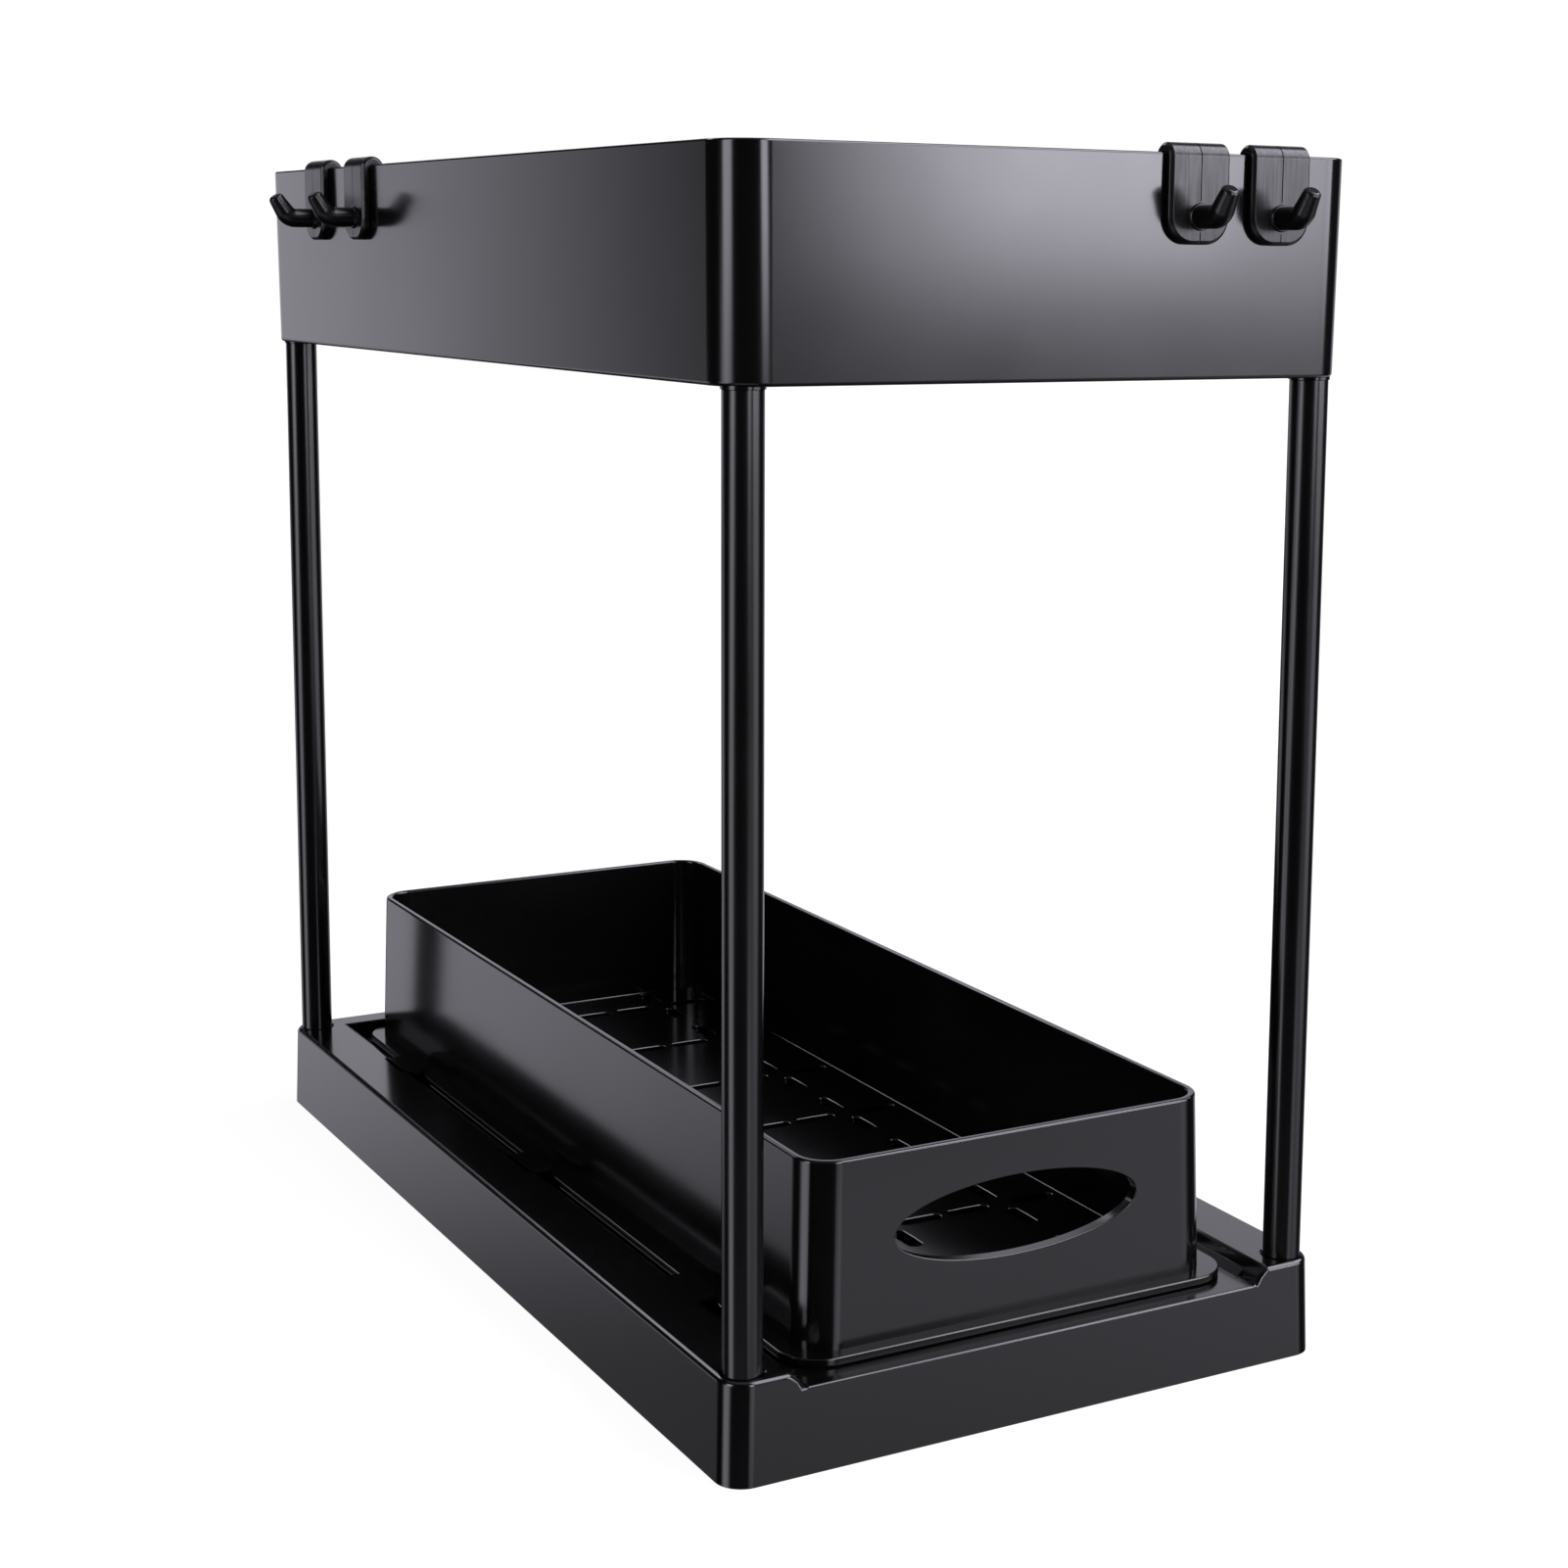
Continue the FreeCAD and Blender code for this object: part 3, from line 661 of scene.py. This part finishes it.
class ORGANIZER_OT_drawer(bpy.types.Operator):
    """Model the drawer: tapered shell, flange, slotted floor and oval finger hole"""

    bl_idname = "organizer.drawer"
    bl_label = "Drawer"

    def execute(self, context):
        kit = sizes()
        low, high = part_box("drawer")
        flange_top = low.z + kit.flange_thickness
        rim = Vector((kit.drawer_rim, kit.drawer_rim_end))
        foot = rim + Vector((kit.drawer_foot, kit.drawer_foot))
        inset = kit.drawer_wall + kit.drawer_taper
        floor = rim - Vector((inset, inset))
        sunk = flange_top - kit.flange_thickness / 3
        drawer = open_box(
            "drawer_shell", foot, rim, sunk - kit.flange_thickness / 3, high.z, kit.drawer_corner,
            kit.drawer_wall, floor, sunk)
        plate = add_block("flange", (low.x, low.y, low.z), (high.x, high.y, flange_top))
        round_edges(plate, upright, kit.flange_corner, kit.corner_steps)
        for z in (low.z, flange_top):
            round_edges(plate, corner_at_height(z), kit.flange_edge, kit.edge_steps)
        combine(drawer, plate, "UNION")

        def inside(edge):
            return all(abs(end.co.x) < rim.x - kit.drawer_wall and abs(end.co.y) < rim.y - kit.drawer_wall
                       for end in edge.verts)

        wall_foot = corner_at_height(flange_top)
        round_edges(drawer, lambda edge: wall_foot(edge) and inside(edge), kit.floor_fillet, kit.edge_steps)

        middle_z = high.z - kit.handle_drop
        behind = -floor.y + 3 * PAST
        hole = add_rod(
            "finger_hole", kit.handle_height / 2, (0, -foot.y - 3 * PAST, middle_z), (0, behind, middle_z),
            SIDES["finger_hole"])
        stretch = kit.handle_width / kit.handle_height
        with picked(hole, "VERT", everything):
            bpy.ops.transform.resize(value=(stretch, 1, 1), center_override=(0, 0, middle_z))
        combine(drawer, hole, "DIFFERENCE")

        def hole_edge(edge):
            if edge.calc_face_angle(0) < SHARP:
                return False
            for vertex in edge.verts:
                across = 2 * vertex.co.x / kit.handle_width
                up = 2 * (vertex.co.z - middle_z) / kit.handle_height
                if vertex.co.y > behind or abs(math.hypot(across, up) - 1) > OVAL_SLACK:
                    return False
            return True

        round_edges(drawer, hole_edge, kit.handle_edge, kit.edge_steps)
        combine(drawer, drain_slots(floor, flange_top, low.z, DRAWER_CROSSES), "DIFFERENCE")
        complete(drawer, "drawer", "drawer", body_plastic())
        return {"FINISHED"}


class ORGANIZER_OT_tray(bpy.types.Operator):
    """Model the upper tray: open shell, slotted floor, seat rings and spigots"""

    bl_idname = "organizer.tray"
    bl_label = "Upper tray"

    def execute(self, context):
        kit = sizes()
        low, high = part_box("upper_tray")
        foot_z = high.z - kit.tray_height
        floor_z = foot_z + kit.tray_wall
        rim = Vector((high.x, high.y))
        foot = rim - Vector((kit.tray_taper, kit.tray_taper))
        floor = foot - Vector((kit.tray_wall, kit.tray_wall))
        tray = open_box(
            "tray_shell", foot, rim, foot_z, high.z, kit.tray_corner, kit.tray_wall, floor, floor_z)
        round_edges(tray, corner_at_height(foot_z), kit.tray_foot, kit.edge_steps)
        round_edges(tray, corner_at_height(floor_z), kit.floor_fillet, kit.edge_steps)
        combine(tray, drain_slots(floor, floor_z, foot_z, TRAY_CROSSES), "DIFFERENCE")
        for corner in CORNERS:
            post_low, post_high, middle = node_box("post_" + corner)
            radius = (post_high.x - post_low.x) / 2
            spigot_radius = radius - kit.post_wall - kit.post_fit
            for name, size, foot_end, top_end, operation in (
                    ("seat", radius + kit.seat_margin, post_high.z, foot_z + PAST, "UNION"),
                    ("spigot", spigot_radius, low.z, foot_z + PAST, "UNION"),
                    ("bore", spigot_radius - kit.spigot_wall, low.z + kit.spigot_wall, floor_z + PAST,
                     "DIFFERENCE")):
                rod = add_rod(
                    name, size, (middle.x, middle.y, foot_end), (middle.x, middle.y, top_end), SIDES[name])
                combine(tray, rod, operation)
        complete(tray, "frame", "upper_tray", body_plastic())
        return {"FINISHED"}


class ORGANIZER_OT_posts(bpy.types.Operator):
    """Model the four posts as tubes with eased ends"""

    bl_idname = "organizer.posts"
    bl_label = "Posts"

    def execute(self, context):
        kit = sizes()
        material = post_plastic()
        low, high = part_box("post_front_left")
        post = add_rod("post_tube", (high.x - low.x) / 2, (0, 0, low.z), (0, 0, high.z), SIDES["post"])
        for z in (low.z, high.z):
            with picked(post, "FACE", at_height(z)):
                bpy.ops.mesh.inset(thickness=kit.post_wall)
                bpy.ops.mesh.delete(type="ONLY_FACE")
        with picked(post, "EDGE", lambda edge: edge.is_boundary):
            bpy.ops.mesh.bridge_edge_loops()
        for z in (low.z, high.z):
            round_edges(post, corner_at_height(z), kit.post_ease, STEPS["ease"])
        for corner in CORNERS:
            _, _, middle = node_box("post_" + corner)
            copy = moved_copy(post, (middle.x, middle.y, 0), "post_tube_" + corner)
            complete(copy, "frame", "post_" + corner, material)
        bpy.data.objects.remove(post, do_unlink=True)
        return {"FINISHED"}


class ORGANIZER_OT_hooks(bpy.types.Operator):
    """Model one hook and hang a copy at each place on the rim"""

    bl_idname = "organizer.hooks"
    bl_label = "Hooks"

    def execute(self, context):
        kit = sizes()
        material = hook_plastic()
        low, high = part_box(HOOKS[0])
        hook = self.model(high.z - low.z)
        for node in HOOKS:
            low, high, middle = node_box(node)
            place, turn = (middle.x, high.y - kit.hook_depth, low.z), 0
            if "side" in node:
                place, turn = (high.x - kit.hook_depth, middle.y, low.z), -math.pi / 2
            copy = moved_copy(hook, place, node + "_moulding", turn)
            complete(copy, node, node, material)
        bpy.data.objects.remove(hook, do_unlink=True)
        return {"FINISHED"}

    def model(self, height):
        """Hook with its face at y zero, its plate's foot at z zero and its middle at x zero."""
        kit = sizes()
        half = kit.hook_width / 2
        arch = Vector((0, kit.hook_depth / 2, height - kit.hook_depth / 2))
        toe = height - kit.hook_leg
        strap = self.bent_strip("hook", half, 0, kit.hook_strap, 0, toe, arch)

        def side_edge(z):
            def test(edge):
                first, last = (end.co for end in edge.verts)
                level = near(first.z, z) and near(last.z, z)
                return level and near(abs(first.x), half) and near(first.x, last.x)
            return test

        round_edges(strap, side_edge(0), kit.hook_corner, STEPS["plate"])
        round_edges(strap, side_edge(toe), kit.hook_toe, STEPS["toe"])

        def outside(vertex):
            place = vertex.co
            if place.z > arch.z:
                return near(math.hypot(place.y - arch.y, place.z - arch.z), arch.y)
            return near(place.y, 0) or near(place.y, kit.hook_depth)

        def brim(edge):
            return edge.calc_face_angle(0) > SHARP and all(outside(end) for end in edge.verts)

        round_edges(strap, brim, kit.hook_chamfer, STEPS["chamfer"])
        round_edges(strap, arris, kit.hook_arris, STEPS["arris"])
        groove = kit.seam_width / 2
        above, below = (kit.peg_height + side * (kit.ring_radius + groove) for side in (1, -1))
        seam = add_block("seam", (-groove, -PAST, -PAST), (groove, kit.seam_depth, below))
        combine(strap, seam, "DIFFERENCE")

        ring = add_rod(
            "ring", kit.ring_radius, (0, kit.hook_strap / 2, kit.peg_height),
            (0, -kit.ring_height, kit.peg_height), SIDES["ring"])
        ratio = 1 - kit.ring_draft / kit.ring_radius
        with picked(ring, "VERT", lambda vertex: near(vertex.co.y, -kit.ring_height)):
            bpy.ops.transform.resize(
                value=(ratio, 1, ratio), center_override=(0, -kit.ring_height, kit.peg_height))

        def ring_face(edge):
            return all(near(end.co.y, -kit.ring_height) for end in edge.verts)

        round_edges(ring, ring_face, kit.hook_arris, STEPS["arris"])
        combine(strap, ring, "UNION")
        combine(strap, self.peg(), "UNION")
        seam = self.bent_strip("seam", groove, -PAST, PAST + kit.seam_depth, above, toe - PAST, arch)
        combine(strap, seam, "DIFFERENCE")
        return strap

    def bent_strip(self, name, half, front, thickness, foot, toe, arch):
        """Strip that runs up the plate, over the rim in a half circle and down inside to its toe."""
        strip = add_block(name, (-half, front, foot), (half, front + thickness, arch.z))
        with picked(strip, "FACE", at_height(arch.z)):
            bpy.ops.mesh.spin(steps=STEPS["arch"], angle=math.pi, center=arch, axis=(1, 0, 0))
            bpy.ops.mesh.extrude_region_move(TRANSFORM_OT_translate={"value": (0, 0, toe - arch.z)})
            bpy.ops.mesh.select_all(action="SELECT")
            bpy.ops.mesh.normals_make_consistent(inside=False)
        return strip

    def peg(self):
        """Peg that leaves the plate level, bends upwards and tapers to a blunt tip."""
        kit = sizes()
        elbow = Vector((0, -kit.peg_run, kit.peg_height))
        pivot = elbow + Vector((0, 0, kit.peg_bend))
        way = Vector((0, -math.cos(kit.peg_turn), math.sin(kit.peg_turn)))
        tip = pivot + kit.peg_bend * Vector((0, -way.z, way.y)) + kit.peg_rise * way
        peg = add_rod("peg", kit.peg_radius, (0, kit.hook_strap / 2, kit.peg_height), elbow, SIDES["peg"])
        with picked(peg, "FACE", lambda face: all(near(end.co.y, elbow.y) for end in face.verts)):
            bpy.ops.mesh.spin(steps=STEPS["peg"], angle=kit.peg_turn, center=pivot, axis=(1, 0, 0))
            bpy.ops.mesh.extrude_region_move(TRANSFORM_OT_translate={"value": kit.peg_rise * way})
            bpy.ops.transform.resize(value=[kit.peg_tip / kit.peg_radius] * 3, center_override=tip)
            bpy.ops.mesh.select_all(action="SELECT")
            bpy.ops.mesh.normals_make_consistent(inside=False)

        def end_edge(edge):
            return all(near((end.co - tip).dot(way), 0) for end in edge.verts)

        round_edges(peg, end_edge, kit.tip_chamfer, STEPS["chamfer"])
        round_edges(peg, arris, kit.hook_arris, STEPS["arris"])
        return peg


class ORGANIZER_OT_pads(bpy.types.Operator):
    """Model the four anti-slip pads with a grooved sole"""

    bl_idname = "organizer.pads"
    bl_label = "Foot pads"

    def execute(self, context):
        kit = sizes()
        material = pad_rubber()
        low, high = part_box("foot_pad_front_left")
        radius = (high.x - low.x) / 2
        band, lip = radius / 3, radius / 16
        pad = add_rod("pad", radius, (0, 0, low.z), (0, 0, high.z), SIDES["pad"])
        round_edges(pad, corner_at_height(low.z), kit.pad_ease, STEPS["ease"])
        with picked(pad, "FACE", lambda face: face.normal.z < -LEVEL):
            bpy.ops.mesh.inset(thickness=band)
        with picked(pad, "FACE", self.ring_face(low.z, radius / 2)):
            bpy.ops.mesh.inset(thickness=lip, depth=-kit.pad_groove)
        for corner in CORNERS:
            _, _, middle = node_box("foot_pad_" + corner)
            copy = moved_copy(pad, (middle.x, middle.y, 0), "pad_" + corner)
            complete(copy, "frame", "foot_pad_" + corner, material)
        bpy.data.objects.remove(pad, do_unlink=True)
        return {"FINISHED"}

    def ring_face(self, z, radius):
        """Test for the faces of the sole's outer ring."""
        level = at_height(z)
        return lambda face: level(face) and face.calc_center_median().xy.length > radius


# Studio

# Soft boxes: strength, then in degrees the azimuth from the front and the elevation of the middle, the half
# size and the soft edge. The last four are dim fill for the far sides and from above.
STUDIO = (
    (1.24, (-172, 1.8), (14.5, 6.3), (6, 2)),
    (4.5, (-174, 35), (20, 4.5), (8, 3)),
    (1.0, (-157, -12), (14, 5.6), (4, 4.5)),
    (0.18, (-155, -22), (16, 6), (6, 3)),
    (0.95, (149, 20), (20, 15), (5, 5)),
    (5.8, (-81, 14), (11, 16), (4, 2)),
    (2.9, (-86, -5), (12, 3.5), (8, 2)),
    (2.7, (-92, -18), (13, 10), (8, 4)),
    (8.5, (6, 14), (7.5, 14), (2.5, 2)),
    (8.0, (9, -1), (7.5, 1.2), (2.5, 1)),
    (0.5, (31, -3), (9, 1.3), (3, 1.3)),
    (13.4, (32.9, 7.1), (3.8, 8.3), (1.6, 0.8)),
    (7.3, (50.3, 7), (13.8, 8.5), (2, 1.5)),
    (1.2, (49, -8.5), (15, 6), (9, 3)),
    (0.58, (35, -18), (24, 12), (8, 4)),
    (0.38, (34, -18.5), (23, 2.5), (8, 1.5)),
    (1.5, (7, -19), (8, 4), (4, 3)),
    (7.5, (58, 46), (38, 22), (7, 4)),
    (0.8, (135, -14), (24, 18), (9, 6)),
    (0.7, (-42, -38), (34, 12), (12, 4)),
    (0.7, (85, -38), (40, 12), (14, 4)),
    (0.45, (180, 76), (200, 20), (1, 6)),
)

ROOM_LIGHT = 0.02
# Side of the floor in metres, its paint's roughness, its own glow, and the glow's share where the camera
# sees the floor itself
FLOOR_SIZE = 12
FLOOR_ROUGHNESS = 0.5
FLOOR_GLOW = 1.1
FLOOR_GLOW_SHARE = 0.85
# Camera: turn about Z, height and roll in degrees, place in millimetres, and in picture elements the
# picture's side, the focal length and the point that the camera looks straight at
CAMERA_ANGLES = (-29.983, 8.5235, 0.5699)
CAMERA_PLACE = (-420.8, -848.7, 348.5)
PICTURE = 1601
FOCUS = 2718.86
AIM = (925.09, 672.17)
# Width of the camera's sensor in millimetres, and how near in metres it still sees things
SENSOR = 36
NEAREST = 0.05


def maths(tree, operation, *values):
    """Result of a maths node over numbers and earlier outputs."""
    node = add_node(tree, "ShaderNodeMath", {"operation": operation}, dict(enumerate(values)))
    return node.outputs["Value"]


class ORGANIZER_OT_stage(bpy.types.Operator):
    """Set the floor, the studio light and the camera"""

    bl_idname = "organizer.stage"
    bl_label = "Stage"

    def execute(self, context):
        context.scene.view_settings.view_transform = "Standard"
        self.floor()
        self.world(context.scene)
        self.camera(context.scene)
        return {"FINISHED"}

    def floor(self):
        """White matt floor that keeps the shadow and stays out of reflections."""
        bpy.ops.object.select_all(action="DESELECT")
        bpy.ops.mesh.primitive_plane_add(size=FLOOR_SIZE, location=(0, 0, 0))
        floor = placed("studio_floor")
        material, tree, output = new_material("Matt painted floor, white")
        light = add_node(tree, "ShaderNodeLightPath", {}, {})
        paint = add_node(
            tree, "ShaderNodeBsdfDiffuse", {},
            {"Color": [*finish().floor, 1], "Roughness": FLOOR_ROUGHNESS})
        glow = add_node(tree, "ShaderNodeEmission", {}, {"Color": (1, 1, 1, 1), "Strength": FLOOR_GLOW})
        share = maths(tree, "MULTIPLY", light.outputs["Is Camera Ray"], FLOOR_GLOW_SHARE)
        mix = add_node(
            tree, "ShaderNodeMixShader", {},
            {"Fac": share, 1: paint.outputs["BSDF"], 2: glow.outputs["Emission"]})
        tree.links.new(mix.outputs["Shader"], output.inputs["Surface"])
        floor.data.materials.append(material)
        floor.visible_glossy = False

    def world(self, scene):
        """Dim room lit by the soft boxes, white where the camera looks straight at it."""
        world = bpy.data.worlds.new("Studio room")
        scene.world = world
        world.use_nodes = True
        tree = world.node_tree
        tree.nodes.clear()
        output = add_node(tree, "ShaderNodeOutputWorld", {}, {})
        way = add_node(tree, "ShaderNodeTexCoord", {}, {}).outputs["Generated"]
        parts = add_node(tree, "ShaderNodeSeparateXYZ", {}, {"Vector": way})
        forward = maths(tree, "MULTIPLY", parts.outputs["Y"], -1.0)
        azimuth = maths(tree, "ARCTAN2", parts.outputs["X"], forward)
        elevation = maths(tree, "ARCSINE", parts.outputs["Z"])
        total = ROOM_LIGHT
        for strength, middle, half, soft in STUDIO:
            windows = []
            for angle, place in ((azimuth, 0), (elevation, 1)):
                away = maths(tree, "SUBTRACT", angle, math.radians(middle[place]))
                window = add_node(
                    tree, "ShaderNodeMapRange", {"interpolation_type": "SMOOTHSTEP"},
                    {"Value": maths(tree, "ABSOLUTE", maths(tree, "WRAP", away, math.pi, -math.pi)),
                     "From Min": math.radians(half[place] - soft[place]),
                     "From Max": math.radians(half[place] + soft[place]), "To Min": 1.0, "To Max": 0.0})
                windows.append(window.outputs["Result"])
            total = maths(tree, "MULTIPLY_ADD", maths(tree, "MULTIPLY", *windows), strength, total)
        room = add_node(
            tree, "ShaderNodeBackground", {}, {"Color": [*finish().lamp, 1], "Strength": total})
        white = add_node(tree, "ShaderNodeBackground", {}, {"Color": (1, 1, 1, 1), "Strength": 1.0})
        light = add_node(tree, "ShaderNodeLightPath", {}, {})
        mix = add_node(
            tree, "ShaderNodeMixShader", {},
            {"Fac": light.outputs["Is Camera Ray"], 1: room.outputs["Background"],
             2: white.outputs["Background"]})
        tree.links.new(mix.outputs["Shader"], output.inputs["Surface"])

    def camera(self, scene):
        """Camera at the photograph's viewing angle and framing."""
        azimuth, elevation, roll = (math.radians(angle) for angle in CAMERA_ANGLES)
        back = Vector((
            math.sin(azimuth) * math.cos(elevation), -math.cos(azimuth) * math.cos(elevation),
            math.sin(elevation)))
        right = Vector((math.cos(azimuth), math.sin(azimuth), 0))
        up = back.cross(right)
        across = right * math.cos(roll) + up * math.sin(roll)
        upwards = up * math.cos(roll) - right * math.sin(roll)
        bpy.ops.object.camera_add()
        camera = bpy.context.object
        camera.name = "photo_camera"
        turn = Matrix((across, upwards, back)).transposed()
        camera.matrix_world = Matrix.Translation(Vector(CAMERA_PLACE) * MM) @ turn.to_4x4()
        camera.data.sensor_width = SENSOR
        camera.data.lens = SENSOR * FOCUS / PICTURE
        camera.data.shift_x = (PICTURE / 2 - AIM[0]) / PICTURE
        camera.data.shift_y = (AIM[1] - PICTURE / 2) / PICTURE
        camera.data.clip_start = NEAREST
        scene.camera = camera


# Add-on

class ORGANIZER_PT_panel(bpy.types.Panel):
    """Lists the organizer's steps"""

    bl_idname = "ORGANIZER_PT_panel"
    bl_label = "Organizer"
    bl_space_type = "VIEW_3D"
    bl_region_type = "UI"
    bl_category = "Organizer"

    def draw(self, context):
        for operator in OPERATORS:
            self.layout.operator(operator.bl_idname)


OPERATORS = (
    ORGANIZER_OT_stage,
    ORGANIZER_OT_base,
    ORGANIZER_OT_drawer,
    ORGANIZER_OT_tray,
    ORGANIZER_OT_posts,
    ORGANIZER_OT_hooks,
    ORGANIZER_OT_pads,
)
CLASSES = (OrganizerSizes, OrganizerFinish, *OPERATORS, ORGANIZER_PT_panel)


def register():
    """Add the classes and the scene's settings."""
    for each in CLASSES:
        bpy.utils.register_class(each)
    bpy.types.Scene.organizer_sizes = PointerProperty(type=OrganizerSizes)
    bpy.types.Scene.organizer_finish = PointerProperty(type=OrganizerFinish)


def unregister():
    """Take the settings and the classes away again."""
    del bpy.types.Scene.organizer_finish
    del bpy.types.Scene.organizer_sizes
    for each in reversed(CLASSES):
        bpy.utils.unregister_class(each)


def main():
    """Add the classes and the scene's settings, and run every step."""
    register()
    for operator in OPERATORS:
        group, name = operator.bl_idname.split(".")
        getattr(getattr(bpy.ops, group), name)()


if __name__ == "__main__":
    main()
